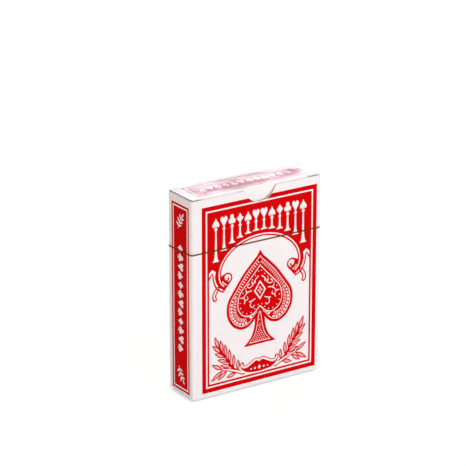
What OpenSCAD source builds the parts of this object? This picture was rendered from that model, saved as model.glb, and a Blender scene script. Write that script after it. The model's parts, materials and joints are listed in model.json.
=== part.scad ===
// Sealed deck of playing cards: a tuck carton round four suits and the jokers,
// in a clear film overwrap that opens along a tear tape.
// The origin is the middle of the underside, +X is the right of the front,
// the front faces -Y and +Z is up. Lengths are in millimetres, angles in degrees.

/* [Cards] */
// Width of a card
card_w = 63; // [50:0.5:75]
// Height of a card
card_h = 88; // [70:0.5:125]
// Thickness of a card
card_t = 0.27; // [0.2:0.01:0.4]
// Radius of a card's corners
card_corner_r = 3.5; // [1:0.25:8]
// Air between neighbouring cards
card_air = 0.01; // [0.005:0.005:0.05]
// Cards in each suit
suit_count = 13; // [10:1:16]
// Jokers behind the suits
joker_count = 2; // [1:1:6]

/* [Carton board] */
// Thickness of the board
board_t = 0.4; // [0.25:0.05:0.6]
// Inner radius of the upright folds
fold_inner_r = 0.6; // [0.3:0.1:1.5]
// Inner radius of the folds round the bottom
crease_inner_r = 0.2; // [0.1:0.05:0.6]

/* [Room inside] */
// Air at each side of the deck
side_play = 1; // [0.5:0.1:3]
// Air behind the deck
back_play = 0.15; // [0.1:0.05:1]
// Air under the deck
floor_play = 0.05; // [0.02:0.01:0.3]
// Air between the deck and the dust flaps
head_play = 1.05; // [0.9:0.05:3]
// Air between the dust flaps and the lid
flap_play = 0.25; // [0.1:0.05:1]

/* [Front] */
// Width of the thumb notch at the top edge
notch_w = 16; // [10:0.5:24]
// Depth of the thumb notch
notch_depth = 6; // [3:0.5:8]
// Shift of the thumb notch to the right of the middle
notch_shift = 1.7; // [-4:0.1:4]
// Gap between the front panel's top edge and the lid's ears
ear_gap = 0.35; // [0.1:0.05:0.8]

/* [Lid] */
// Set-back of the lid from the carton's outer faces
lid_inset = 0.2; // [0.1:0.05:0.5]
// Length of the slits that lock the lid, at each end of the tongue's crease
slit_len = 6; // [4:0.5:9]
// Width of the slits
slit_gap = 0.2; // [0.1:0.05:0.5]
// Gap between a hinged edge and the panel that carries it
hinge_gap = 0.05; // [0.02:0.01:0.15]

/* [Tongue] */
// Length of the tuck tongue from its crease
tongue_len = 10; // [8:0.5:16]
// How far the tongue's tip leans in from its crease
tongue_lean_in = 1.22; // [0.6:0.02:2]
// Air between the front panel and the tongue's crease
tongue_front_play = 0.15; // [0.1:0.05:0.5]
// Air between the tongue's tip and the deck
tongue_rear_play = 0.37; // [0.1:0.01:1]
// Air at each side of the tongue
tongue_side_play = 1.5; // [0.8:0.1:2]
// Drop of the tongue's shoulders below the slits
tongue_shoulder = 1; // [0.5:0.1:2]
// Radius of the tongue's lower corners
tongue_corner_r = 5; // [1:0.5:6]

/* [Dust flaps] */
// Length of the dust flaps from their creases
flap_len = 13; // [8:0.5:20]
// Set-back of a dust flap's root from the upright folds
flap_root_play = 0.3; // [0.1:0.05:1]
// Radius of the dust flaps' inner corners
flap_corner_r = 1.5; // [0.5:0.1:2]

/* [Bottom] */
// Length of the bottom dust flaps
bottom_flap_len = 15; // [8:0.5:24]
// Air between a bottom flap and the panels that it doesn't hang on
bottom_play = 0.4; // [0.2:0.05:1]
// Radius of the bottom flaps' free corners
bottom_corner_r = 1.5; // [0.5:0.1:2]

/* [Seam] */
// Set-back of the glued side flap from the folds round it
seam_play = 0.6; // [0.3:0.05:2]

/* [Film] */
// Thickness of the film
film_t = 0.1; // [0.05:0.01:0.2]
// Air between the film and the carton
film_gap = 0.15; // [0.1:0.01:0.4]
// Width of the upright lap on the back
film_lap_w = 6; // [3:0.5:12]
// Width of the seal across the folded top
film_seal_w = 3; // [1:0.25:4]

/* [Tear tape] */
// Height of the tear tape
tape_w = 0.6; // [0.4:0.05:3]
// How far the tear tape stands proud of the film
tape_proud = 0.1; // [0.05:0.01:0.3]
// Gap between the tear tape and the cut edges of the film
tape_air = 0.05; // [0.02:0.01:0.2]
// Drop of the tear tape from the lid's top face
tape_drop = 24.9; // [14:0.1:40]
// Fall of the tear tape from front to back, as an angle
tape_lean = 2.2; // [0:0.1:4]

/* [Hidden] */
$fn = 64;

// Shares of the piece that they follow
flap_back_cut_share = 0.43;
flap_front_cut_share = 0.27;
bottom_flap_cut_share = 0.12;
inner_flap_depth_share = 0.75;
film_front_fold_share = 0.55;

// Overrun of every cut past the piece that it cuts
overrun = 1;

BOARD = "white";
CARD = "ivory";
FILM = [0.92, 0.96, 1, 0.3];
TAPE = "darkgoldenrod";

// The deck, and the carton that it fits
card_pitch = card_t + card_air;
deck_count = 4 * suit_count + joker_count;
deck_d = deck_count * card_pitch - card_air;
fold_r = fold_inner_r + board_t;
crease_r = crease_inner_r + board_t;
tongue_room = tongue_front_play + board_t + tongue_lean_in + tongue_rear_play;
inner_w = card_w + 2 * side_play;
inner_d = back_play + deck_d + tongue_room;
box_w = inner_w + 3 * board_t;
box_d = inner_d + 2 * board_t;
half_w = box_w / 2;
half_d = box_d / 2;

// The glued flap doubles the right wall, so the inside lies half a board to the left
inner_x = -board_t / 2;

// Heights, from the film's folded underside up
base_top = 2 * film_t;
carton_z = base_top + film_gap;
floor_z = carton_z + 3 * board_t;
deck_z = floor_z + floor_play;
flap_z = deck_z + card_h + head_play;
lid_z = flap_z + board_t + flap_play;
lid_top = lid_z + board_t;
film_top = lid_top + film_gap;
wrap_top = film_top + film_t;

// Flat stretches between the upright folds, and the edges that the folds leave
flat_x = half_w - fold_r;
flat_y = half_d - fold_r;
front_top = lid_z - ear_gap;
front_bottom = carton_z + crease_r;
back_bottom = front_bottom + board_t;
side_bottom = back_bottom + board_t;
back_top = lid_z - hinge_gap;
side_top = flap_z - hinge_gap;
seam_x = half_w - board_t;

// Axes of the living hinges
lid_axis_y = half_d - board_t / 2;
lid_axis_z = lid_z + board_t / 2;
flap_axis_x = half_w - board_t / 2;
flap_axis_z = flap_z + board_t / 2;
tongue_axis_y = -half_d + board_t + tongue_front_play + board_t;
tongue_lean = asin(tongue_lean_in / tongue_len);

// Lid outline and the crease between its slits
lid_half_w = half_w - lid_inset;
lid_corner_r = fold_r - lid_inset;
ear_y = -half_d + lid_inset;
slit_x = lid_half_w - slit_len;
crease_half_w = slit_x - slit_gap;

// The film's outer plan
film_out = film_gap + film_t;
wrap_half_d = half_d + film_out;
wrap_flat_x = half_w - fold_r;
front_fold_d = 2 * wrap_half_d * film_front_fold_share;
back_fold_d = 2 * wrap_half_d - front_fold_d;
tape_z = lid_top - tape_drop;
half_space = box_w + box_d + card_h;

// Direction from one point to another
function toward(a, b) = (b - a) / norm(b - a);

// Half of the angle at corner i of an outline
function half_angle(points, i) =
    let (
        n = len(points),
        to_last = toward(points[i], points[(i + n - 1) % n]),
        to_next = toward(points[i], points[(i + 1) % n])
    )
    acos(to_last * to_next) / 2;

// Point at a distance from corner i of an outline, along the edge to corner j
function along(points, i, j, distance) = points[i] + toward(points[i], points[j]) * distance;

// Centre of the disc that rounds corner i of an outline
function disc_centre(points, i, r) =
    let (
        n = len(points),
        to_last = toward(points[i], points[(i + n - 1) % n]),
        to_next = toward(points[i], points[(i + 1) % n])
    )
    points[i] + (to_last + to_next) / norm(to_last + to_next) * r / sin(half_angle(points, i));

// Outline whose outer corners are rounded by discs: a radius of 0 leaves a corner sharp
module rounded_outline(points, radii) {
    n = len(points);
    cut_points = [
        for (i = [0:n - 1])
            let (reach = radii[i] > 0 ? radii[i] / tan(half_angle(points, i)) : 0)
                each radii[i] > 0
                    ? [
                        along(points, i, (i + n - 1) % n, reach),
                        along(points, i, (i + 1) % n, reach)
                    ]
                    : [points[i]]
    ];
    polygon(cut_points);
    for (i = [0:n - 1])
        if (radii[i] > 0)
            translate(disc_centre(points, i, radii[i]))
                circle(r = radii[i]);
}

// Rectangle about the origin with four equal rounded corners
module rounded_rectangle(w, d, r) {
    rounded_outline(
        [[-w / 2, -d / 2], [w / 2, -d / 2], [w / 2, d / 2], [-w / 2, d / 2]],
        [r, r, r, r]
    );
}

// Quarter ring of board about the origin, from +X round to +Y
module fold_section(r) {
    intersection() {
        difference() {
            circle(r = r);
            circle(r = r - board_t);
        }
        square(r);
    }
}

// Upright fold about the centre [x, y], turned so that the ring faces the corner
module upright_fold(x, y, turn, bottom, top) {
    translate([x, y, bottom])
        rotate([0, 0, turn])
            linear_extrude(top - bottom)
                fold_section(fold_r);
}

// Fold along the front or back bottom edge, about a line at y and z
module bottom_fold(y, z, turn, from_x, to_x) {
    translate([from_x, y, z])
        rotate([90, 0, 90])
            linear_extrude(to_x - from_x)
                rotate([0, 0, turn])
                    fold_section(crease_r);
}

// Rounded edge of a board, along X
module edge_along_x(from_x, to_x, y, z) {
    translate([from_x, y, z])
        rotate([0, 90, 0])
            cylinder(d = board_t, h = to_x - from_x);
}

// Rounded edge of a board, along Y
module edge_along_y(x, from_y, to_y, z) {
    translate([x, from_y, z])
        rotate([-90, 0, 0])
            cylinder(d = board_t, h = to_y - from_y);
}

// Front panel, with the thumb notch that shows the tongue
module front_panel() {
    notch_r = (notch_w * notch_w / 4 + notch_depth * notch_depth) / (2 * notch_depth);
    color(BOARD)
        difference() {
            translate([-flat_x, -half_d, front_bottom])
                cube([2 * flat_x, board_t, front_top - front_bottom]);
            translate([notch_shift, -half_d - overrun, front_top - notch_depth + notch_r])
                rotate([-90, 0, 0])
                    cylinder(r = notch_r, h = board_t + 2 * overrun);
        }
}

// Back panel, whose rounded top edge carries the lid
module back_panel() {
    edge_z = back_top - board_t / 2;
    right_x = seam_x - fold_r;
    color(BOARD)
        union() {
            translate([-flat_x, half_d - board_t, back_bottom])
                cube([right_x + flat_x, board_t, edge_z - back_bottom]);
            edge_along_x(-flat_x, right_x, lid_axis_y, edge_z);
        }
}

// Flat stretch of a side wall, whose rounded top edge carries a dust flap
module side_wall(x) {
    edge_z = side_top - board_t / 2;
    translate([x - board_t / 2, -flat_y, side_bottom])
        cube([board_t, 2 * flat_y, edge_z - side_bottom]);
    edge_along_y(x, -flat_y, flat_y, edge_z);
}

// Left side panel with the upright folds at its front and back
module left_side_panel() {
    color(BOARD)
        union() {
            side_wall(-flap_axis_x);
            upright_fold(-flat_x, flat_y, 90, back_bottom, front_top);
            upright_fold(-flat_x, -flat_y, 180, front_bottom, front_top);
        }
}

// Right side panel with the upright fold at its front and a raw edge at the back
module right_side_panel() {
    color(BOARD)
        union() {
            side_wall(flap_axis_x);
            upright_fold(flat_x, -flat_y, 270, front_bottom, front_top);
        }
}

// Flap that folds in from the back panel and is glued inside the right side panel
module side_glue_flap() {
    bottom = side_bottom + seam_play;
    top = side_top - seam_play;
    color(BOARD)
        union() {
            translate([seam_x - board_t, -flat_y + seam_play, bottom])
                cube([board_t, 2 * flat_y - seam_play, top - bottom]);
            upright_fold(seam_x - fold_r, flat_y, 0, bottom, top);
        }
}

// Outer bottom panel, folded in from the front panel
module bottom_panel() {
    front_y = -half_d + crease_r;
    rear_y = half_d - bottom_play;
    color(BOARD)
        union() {
            translate([0, 0, carton_z])
                linear_extrude(board_t)
                    rounded_outline(
                        [[-flat_x, front_y], [flat_x, front_y], [flat_x, rear_y], [-flat_x, rear_y]],
                        [0, 0, bottom_corner_r, bottom_corner_r]
                    );
            bottom_fold(front_y, carton_z + crease_r, 180, -flat_x, flat_x);
        }
}

// Inner bottom flap, folded in from the back panel and glued to the outer one
module bottom_inner_flap() {
    rear_y = half_d - crease_r;
    front_y = rear_y - inner_d * inner_flap_depth_share;
    right_x = seam_x - fold_r;
    color(BOARD)
        union() {
            translate([0, 0, carton_z + board_t])
                linear_extrude(board_t)
                    rounded_outline(
                        [[-flat_x, front_y], [right_x, front_y], [right_x, rear_y], [-flat_x, rear_y]],
                        [bottom_corner_r, bottom_corner_r, 0, 0]
                    );
            bottom_fold(rear_y, back_bottom, 270, -flat_x, right_x);
        }
}

// Dust flap of the bottom on the left, folded in from the left side panel
module bottom_dust_flap() {
    root_x = -half_w + crease_r;
    tip_x = root_x + bottom_flap_len;
    root_y = flat_y - bottom_play;
    tip_y = root_y * (1 - bottom_flap_cut_share);
    union() {
        translate([0, 0, floor_z - board_t])
            linear_extrude(board_t)
                rounded_outline(
                    [[root_x, -root_y], [tip_x, -tip_y], [tip_x, tip_y], [root_x, root_y]],
                    [0, bottom_corner_r, bottom_corner_r, 0]
                );
        translate([root_x, root_y, side_bottom])
            rotate([90, 0, 0])
                linear_extrude(2 * root_y)
                    rotate([0, 0, 180])
                        fold_section(crease_r);
    }
}

module bottom_dust_flap_left() {
    color(BOARD) bottom_dust_flap();
}

module bottom_dust_flap_right() {
    color(BOARD) mirror([1, 0, 0]) bottom_dust_flap();
}

// Lid with a rounded hinge edge and an ear outside each slit
module lid_panel() {
    crease_y = tongue_axis_y + hinge_gap;
    outline = [
        [-lid_half_w, lid_axis_y], [-lid_half_w, ear_y], [-slit_x, ear_y], [-slit_x, crease_y],
        [slit_x, crease_y], [slit_x, ear_y], [lid_half_w, ear_y], [lid_half_w, lid_axis_y]
    ];
    color(BOARD)
        union() {
            translate([0, 0, lid_z])
                linear_extrude(board_t)
                    rounded_outline(
                        outline,
                        [lid_corner_r, lid_corner_r, 0, 0, 0, 0, lid_corner_r, lid_corner_r]
                    );
            edge_along_x(-flat_x, flat_x, lid_axis_y, lid_axis_z);
        }
}

// Tuck tongue, which turns about the inner corner of its crease and leans in behind the front
module tuck_tongue() {
    half = inner_w / 2 - tongue_side_play;
    left = inner_x - half;
    right = inner_x + half;
    outline = [
        [-crease_half_w, 0], [-crease_half_w, -tongue_shoulder], [left, -tongue_shoulder],
        [left, -tongue_len], [right, -tongue_len], [right, -tongue_shoulder],
        [crease_half_w, -tongue_shoulder], [crease_half_w, 0]
    ];
    wedge_reach = 2 * board_t;
    wedge = [
        [0, 0], [wedge_reach * tan(tongue_lean), wedge_reach], [-wedge_reach, wedge_reach],
        [-wedge_reach, 0]
    ];
    color(BOARD)
        translate([0, tongue_axis_y, lid_z])
            rotate([tongue_lean, 0, 0]) {
                rotate([90, 0, 0])
                    linear_extrude(board_t)
                        rounded_outline(outline, [0, 0, 0, tongue_corner_r, tongue_corner_r, 0, 0, 0]);
                translate([-crease_half_w, 0, 0])
                    rotate([90, 0, 90])
                        linear_extrude(2 * crease_half_w)
                            intersection() {
                                circle(r = board_t);
                                polygon(wedge);
                            }
            }
}

// Dust flap on the left, tapered so that the lid and the tongue swing past it
module dust_flap() {
    root_y = flat_y - flap_root_play;
    root_d = 2 * root_y;
    back_y = root_y - root_d * flap_back_cut_share;
    front_y = -root_y + root_d * flap_front_cut_share;
    tip_x = -flap_axis_x + flap_len;
    union() {
        translate([0, 0, flap_z])
            linear_extrude(board_t)
                rounded_outline(
                    [[-flap_axis_x, -root_y], [tip_x, front_y], [tip_x, back_y], [-flap_axis_x, root_y]],
                    [0, flap_corner_r, flap_corner_r, 0]
                );
        edge_along_y(-flap_axis_x, -root_y, root_y, flap_axis_z);
    }
}

module dust_flap_left() {
    color(BOARD) dust_flap();
}

module dust_flap_right() {
    color(BOARD) mirror([1, 0, 0]) dust_flap();
}

// Run of upright cards, counted from the front of the deck
module card_run(first, count) {
    deck_front = half_d - board_t - back_play - deck_d;
    color(CARD)
        for (i = [first:first + count - 1])
            translate([inner_x, deck_front + i * card_pitch + card_t, deck_z + card_h / 2])
                rotate([90, 0, 0])
                    linear_extrude(card_t)
                        rounded_rectangle(card_w, card_h, card_corner_r);
}

module spade_cards() {
    card_run(0, suit_count);
}

module heart_cards() {
    card_run(suit_count, suit_count);
}

module club_cards() {
    card_run(2 * suit_count, suit_count);
}

module diamond_cards() {
    card_run(3 * suit_count, suit_count);
}

module joker_cards() {
    card_run(4 * suit_count, joker_count);
}

// Plan of the carton, grown outwards
module grown_plan(out) {
    rounded_rectangle(box_w + 2 * out, box_d + 2 * out, fold_r + out);
}

// Film flap folded in over an end, from the front edge of the plan
module end_flap(depth) {
    translate([0, -wrap_half_d])
        polygon([
            [-wrap_flat_x, 0], [wrap_flat_x, 0],
            [wrap_flat_x - depth, depth], [-wrap_flat_x + depth, depth]
        ]);
}

// Both film flaps of an end, which leave the tucked corners bare
module end_folds() {
    end_flap(front_fold_d);
    mirror([0, 1]) end_flap(back_fold_d);
}

// Overwrap above its base: walls, top with its folds and seal, and the lap on the back
module overwrap() {
    seal_y = -wrap_half_d + front_fold_d;
    seal_half_w = wrap_flat_x - front_fold_d;
    difference() {
        translate([0, 0, base_top])
            linear_extrude(wrap_top - base_top)
                grown_plan(film_out);
        translate([0, 0, base_top - overrun])
            linear_extrude(film_top - base_top + overrun)
                grown_plan(film_gap);
    }
    translate([0, 0, wrap_top])
        linear_extrude(film_t)
            end_folds();
    translate([0, seal_y, wrap_top + film_t])
        linear_extrude(film_t)
            polygon([
                [-seal_half_w, 0], [seal_half_w, 0],
                [seal_half_w - film_seal_w, -film_seal_w], [film_seal_w - seal_half_w, -film_seal_w]
            ]);
    translate([-film_lap_w / 2, wrap_half_d, base_top])
        cube([film_lap_w, film_t, wrap_top - base_top]);
}

// Puts a shape in the tear tape's own plane
module tape_plane() {
    translate([0, 0, tape_z])
        rotate([-tape_lean, 0, 0])
            children();
}

// All the space above a height in the tape's plane
module above_tape(height) {
    tape_plane()
        translate([-half_space / 2, -half_space / 2, height])
            cube(half_space);
}

// Upper part of the film, which comes off with the tape
module film_cap() {
    color(FILM)
        intersection() {
            overwrap();
            above_tape(tape_w / 2 + tape_air);
        }
}

// Lower walls of the film, which stay round the carton
module film_sleeve() {
    color(FILM)
        difference() {
            overwrap();
            above_tape(-tape_w / 2 - tape_air);
        }
}

// Folded underside of the film, which the carton stands in
module film_base() {
    color(FILM)
        union() {
            linear_extrude(film_t)
                end_folds();
            translate([0, 0, film_t])
                linear_extrude(base_top - film_t)
                    grown_plan(film_out);
        }
}

// Tear tape that runs all round between the two parts of the film
module tear_tape() {
    band_z = tape_z - tape_drop / 2;
    color(TAPE)
        intersection() {
            translate([0, 0, band_z])
                linear_extrude(tape_drop)
                    difference() {
                        grown_plan(film_out + tape_proud);
                        grown_plan(film_gap);
                    }
            tape_plane()
                translate([-half_space / 2, -half_space / 2, -tape_w / 2])
                    cube([half_space, half_space, tape_w]);
        }
}

front_panel();
back_panel();
left_side_panel();
right_side_panel();
side_glue_flap();
bottom_panel();
bottom_inner_flap();
bottom_dust_flap_left();
bottom_dust_flap_right();
lid_panel();
tuck_tongue();
dust_flap_left();
dust_flap_right();
spade_cards();
heart_cards();
club_cards();
diamond_cards();
joker_cards();
film_cap();
film_sleeve();
film_base();
tear_tape();
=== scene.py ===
"""Sealed deck of playing cards, with its printed carton, its cards, its clear film and its tear tape.

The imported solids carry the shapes. The red prints are thin layers of ink that lie on the carton and on
the front card, and every surface gets its own finish.
"""

import json
import logging
import math
from dataclasses import dataclass, field, replace
from enum import Enum

import bpy
from mathutils import Matrix, Vector
from mathutils.geometry import delaunay_2d_cdt


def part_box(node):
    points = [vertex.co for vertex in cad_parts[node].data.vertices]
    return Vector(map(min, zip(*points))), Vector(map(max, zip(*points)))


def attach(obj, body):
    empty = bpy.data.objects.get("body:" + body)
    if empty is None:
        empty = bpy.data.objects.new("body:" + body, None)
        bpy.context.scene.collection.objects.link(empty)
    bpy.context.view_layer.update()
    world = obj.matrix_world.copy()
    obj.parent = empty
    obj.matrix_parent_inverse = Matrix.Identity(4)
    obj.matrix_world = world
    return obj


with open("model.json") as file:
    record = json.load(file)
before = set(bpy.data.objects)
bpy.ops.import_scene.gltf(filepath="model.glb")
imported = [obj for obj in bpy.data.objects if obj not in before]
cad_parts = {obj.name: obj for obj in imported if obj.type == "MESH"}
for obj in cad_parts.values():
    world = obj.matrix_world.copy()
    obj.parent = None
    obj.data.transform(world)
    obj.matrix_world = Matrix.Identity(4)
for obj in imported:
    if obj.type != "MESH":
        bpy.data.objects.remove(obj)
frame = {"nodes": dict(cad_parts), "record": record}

LOG = logging.getLogger("card_deck")
MM = 0.001

# Distances in millimetres under which points meet, lie on the middle line or lie level
WELD = 1e-5
ON_AXIS = 1e-9
NEAR_AXIS = 1e-3
LEVEL = 1e-6

# Stretch of a noise that tones spread over, of a normal where a face begins to count, and a soft edge in metres
NOISE_SPAN = (0.3, 0.7)
FACING_SPAN = (0.35, 0.65)
EDGE_BLUR = 1e-5

Span = tuple[float, float]
Point = tuple[float, float]
Outline = list[Point]
Colour = tuple[float, float, float]
Axes = tuple[float, float, float]
Socket = bpy.types.NodeSocket
Material = bpy.types.Material
Piece = bpy.types.Object


class Layer(Enum):
    """What a shape of an artwork leaves where it is drawn."""

    INK = "ink"
    BARE = "bare"


class Suit(Enum):
    """The four suits of the deck."""

    SPADE = "spade"
    HEART = "heart"
    CLUB = "club"
    DIAMOND = "diamond"


class CutEdge(Enum):
    """Faces that are cut through the board, as an axis and whether they point along it or across it."""

    NONE = None
    ENDS = ("X", True)
    UPRIGHT_RIM = ("Y", False)
    LEVEL_RIM = ("Z", False)


class Face(Enum):
    """Faces that take a print, as the directions of its width, its height and its outside."""

    FRONT = (Vector((1, 0, 0)), Vector((0, 0, 1)), Vector((0, -1, 0)))
    BACK = (Vector((-1, 0, 0)), Vector((0, 0, 1)), Vector((0, 1, 0)))
    LEFT = (Vector((0, -1, 0)), Vector((0, 0, 1)), Vector((-1, 0, 0)))
    RIGHT = (Vector((0, 1, 0)), Vector((0, 0, 1)), Vector((1, 0, 0)))
    TOP = (Vector((1, 0, 0)), Vector((0, 1, 0)), Vector((0, 0, 1)))


def smooth(points: Outline, closed: bool = False, steps: int = 6) -> Outline:
    """Draws a smooth line through points.

    Args:
        points: Points that the line passes through.
        closed: True if the line returns to its first point.
        steps: Short stretches between two points.

    Returns:
        The points of the smooth line.
    """
    count = len(points)
    line: Outline = []
    for i in range(count if closed else count - 1):
        near = [
            points[k % count] if closed else points[min(max(k, 0), count - 1)]
            for k in (i - 1, i, i + 1, i + 2)
        ]
        for k in range(steps):
            t = k / steps
            line.append(tuple(
                0.5 * (2 * b + (c - a) * t + (2 * a - 5 * b + 4 * c - d) * t**2
                       + (3 * b - a - 3 * c + d) * t**3)
                for a, b, c, d in zip(*near)
            ))
    return line if closed else line + [points[-1]]


def anticlockwise(outline: Outline) -> Outline:
    """Gives the outline in anticlockwise order."""
    turns = sum(a[0] * b[1] - b[0] * a[1] for a, b in zip(outline, outline[1:] + outline[:1]))
    return outline if turns > 0 else outline[::-1]


def mirrored(outline: Outline) -> Outline:
    """Gives the outline's mirror image across the middle line."""
    return [(-u, v) for u, v in outline]


def placed(outline: Outline, u: float, v: float, scale: float = 1.0, turn: float = 0.0) -> Outline:
    """Turns an outline about its origin by an angle in degrees, scales it and moves it.

    Args:
        outline: Outline about its own origin.
        u: Move along the print's width.
        v: Move along the print's height.
        scale: Factor on its size.
        turn: Angle in degrees, anticlockwise.

    Returns:
        The outline in its place.
    """
    c, s = math.cos(math.radians(turn)) * scale, math.sin(math.radians(turn)) * scale
    return [(u + c * a - s * b, v + s * a + c * b) for a, b in outline]


def rectangle(half_w: float, bottom: float, top: float) -> Outline:
    """Rectangle about the middle line."""
    return [(-half_w, bottom), (half_w, bottom), (half_w, top), (-half_w, top)]


def oval(
    u: float, v: float, a: float, b: float, start: float = 0.0, stop: float = 360.0, steps: int = 28
) -> Outline:
    """Points of an oval, or of a part of it.

    Args:
        u: Centre along the print's width.
        v: Centre along the print's height.
        a: Half width.
        b: Half height.
        start: First angle in degrees.
        stop: Last angle in degrees.
        steps: Short stretches in the line.

    Returns:
        The points, without the last one where the oval is whole.
    """
    whole = abs(stop - start) >= 360
    turns = [math.radians(start + (stop - start) * k / steps) for k in range(steps + (not whole))]
    return [(u + a * math.cos(t), v + b * math.sin(t)) for t in turns]


def stroke(points: Outline, width: float, tip: float | None = None) -> Outline:
    """Outline of a pen line with round ends.

    Args:
        points: Middle of the line.
        width: Width at the first point.
        tip: Width at the last point, or None for an even line.

    Returns:
        The closed outline.
    """
    last = len(points) - 1
    tip = width if tip is None else tip
    left: Outline = []
    right: Outline = []
    for i, (u, v) in enumerate(points):
        before, after = points[max(i - 1, 0)], points[min(i + 1, last)]
        du, dv = after[0] - before[0], after[1] - before[1]
        half = (width + (tip - width) * i / last) / 2 / (math.hypot(du, dv) or 1.0)
        left.append((u - dv * half, v + du * half))
        right.append((u + dv * half, v - du * half))
    ends: list[Outline] = []
    for centre, edge in ((points[-1], right[-1]), (points[0], left[0])):
        r = math.hypot(edge[0] - centre[0], edge[1] - centre[1])
        angle = math.degrees(math.atan2(edge[1] - centre[1], edge[0] - centre[0]))
        ends.append(oval(*centre, r, r, angle + 30, angle + 150, 4))
    return right + ends[0] + left[::-1] + ends[1]


def whole(side: Outline) -> Outline:
    """Joins the right half of an outline, from top to bottom, with its mirror image."""
    return side + [p for p in mirrored(side)[::-1] if p[0] < -ON_AXIS]


def inset(side: Outline, depth: float) -> Outline:
    """Moves the right half of an outline inwards and ends it on the middle line.

    Args:
        side: Right half, from the top to the bottom.
        depth: How far it moves in.

    Returns:
        The smaller half outline.
    """
    line: Outline = []
    for i, (u, v) in enumerate(side):
        before, after = side[max(i - 1, 0)], side[min(i + 1, len(side) - 1)]
        du, dv = after[0] - before[0], after[1] - before[1]
        reach = depth / math.hypot(du, dv)
        if u + dv * reach > NEAR_AXIS:
            line.append((u + dv * reach, v - du * reach))
    for end, near, place in ((line[0], line[1], 0), (line[-1], line[-2], len(line) + 1)):
        slope = (end[1] - near[1]) / (near[0] - end[0]) if abs(near[0] - end[0]) > LEVEL else 0.0
        line.insert(place, (0.0, end[1] + slope * end[0]))
    return line


def spaced(points: Outline, step: float) -> list[tuple[Point, Point]]:
    """Walks along a line in even steps.

    Args:
        points: The line.
        step: Distance between two stops.

    Returns:
        Each stop with the direction of the line there.
    """
    stops: list[tuple[Point, Point]] = []
    due = step / 2
    for (u0, v0), (u1, v1) in zip(points, points[1:]):
        length = math.hypot(u1 - u0, v1 - v0)
        while due <= length and length > 0:
            t = due / length
            place = (u0 + (u1 - u0) * t, v0 + (v1 - v0) * t)
            stops.append((place, ((u1 - u0) / length, (v1 - v0) / length)))
            due += step
        due -= length
    return stops


def leaf(base: Point, tip: Point, width: float, share: float = 1.0) -> Outline:
    """Pointed leaf from its base to its tip.

    Args:
        base: Where the leaf leaves its stem.
        tip: Its point.
        width: Its greatest width.
        share: Size of the leaf beside the whole one, about its middle.

    Returns:
        The closed outline.
    """
    du, dv = tip[0] - base[0], tip[1] - base[1]
    length = math.hypot(du, dv)
    along, across = (du / length, dv / length), (-dv / length, du / length)
    side = [(0.0, 0.0), (0.2, 0.34), (0.45, 0.5), (0.72, 0.36), (1.0, 0.0)]
    half = [((t - 0.5) * length * share, w * width * share) for t, w in smooth(side, steps=3)]
    ring = half + [(a, -b) for a, b in half[-2:0:-1]]
    mid = (base[0] + du / 2, base[1] + dv / 2)
    return [(mid[0] + a * along[0] + b * across[0], mid[1] + a * along[1] + b * across[1]) for a, b in ring]


def lozenge(u: float, v: float, a: float, b: float) -> Outline:
    """Lozenge about a centre, with its half width and half height."""
    return [(u + a, v), (u, v + b), (u - a, v), (u, v - b)]


def pip(suit: Suit, width: float, height: float) -> list[Outline]:
    """Upright pip that stands on its origin.

    Args:
        suit: Which suit it is.
        width: Its width.
        height: Its whole height.

    Returns:
        Its outlines, which may overlap.
    """
    w, top, head, rest = width, height, 0.9 * height, 0.1 * height
    ankle = [(0.05 * w, rest + 0.3 * head), (0.07 * w, 0.4 * rest + 0.1 * head), (0.25 * w, 0.0)]
    foot = smooth(ankle, steps=4)
    if suit is Suit.DIAMOND:
        mid = top - 0.52 * head
        side = [(0.0, top), (0.22 * w, mid + 0.44 * (top - mid)), (0.5 * w, mid), (0.2 * w, 0.52 * mid)]
        return [whole(side + [(0.0, 0.0)])]
    if suit is Suit.HEART:
        low = top - 0.34 * head
        side = [
            (0.0, top - 0.22 * head), (0.09 * w, top - 0.07 * head), (0.27 * w, top),
            (0.45 * w, top - 0.1 * head), (0.5 * w, low), (0.38 * w, 0.74 * low), (0.16 * w, 0.34 * low),
            (0.0, 0.0),
        ]
        return [whole(smooth(side, steps=4))]
    if suit is Suit.SPADE:
        side = [
            (0.0, top), (0.12 * w, top - 0.24 * head), (0.33 * w, top - 0.47 * head),
            (0.5 * w, top - 0.72 * head), (0.43 * w, top - 0.94 * head), (0.24 * w, top - 0.95 * head),
            (0.0, top - 0.8 * head),
        ]
        return [whole(smooth(side, steps=4)), whole(foot)]
    r = 0.26 * w
    lobes = [(0.0, top - r), (0.245 * w, top - 0.64 * head), (-0.245 * w, top - 0.64 * head)]
    return [oval(u, v, r, r * head / w, steps=18) for u, v in lobes] + [whole(foot)]


@dataclass
class Artwork:
    """Shapes of one ink, drawn over each other in order. A bare shape takes the ink under it away."""

    shapes: list[tuple[Outline, Layer]] = field(default_factory=list)

    def draw(self, layer: Layer, *outlines: Outline) -> None:
        """Adds shapes on top of those drawn before."""
        self.shapes += [(anticlockwise(outline), layer) for outline in outlines]

    def draw_pair(self, layer: Layer, *outlines: Outline) -> None:
        """Adds shapes on the right and their mirror images on the left."""
        for outline in outlines:
            self.draw(layer, outline, mirrored(outline))

    def flat(self) -> tuple[list[Point], list[list[int]]]:
        """Finds where ink is left.

        Returns:
            The points and the triangles of the ink.
        """
        points: list[Vector] = []
        loops: list[list[int]] = []
        for outline, _ in self.shapes:
            loops.append(list(range(len(points), len(points) + len(outline))))
            points += [Vector(p) for p in outline]
        verts, _, faces, _, _, owners = delaunay_2d_cdt(points, [], loops, 1, WELD)
        inked = [
            list(f) for f, owner in zip(faces, owners) if owner and self.shapes[max(owner)][1] is Layer.INK
        ]
        used = sorted({i for f in inked for i in f})
        number = {old: new for new, old in enumerate(used)}
        return [tuple(verts[i]) for i in used], [[number[i] for i in f] for f in inked]


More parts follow.
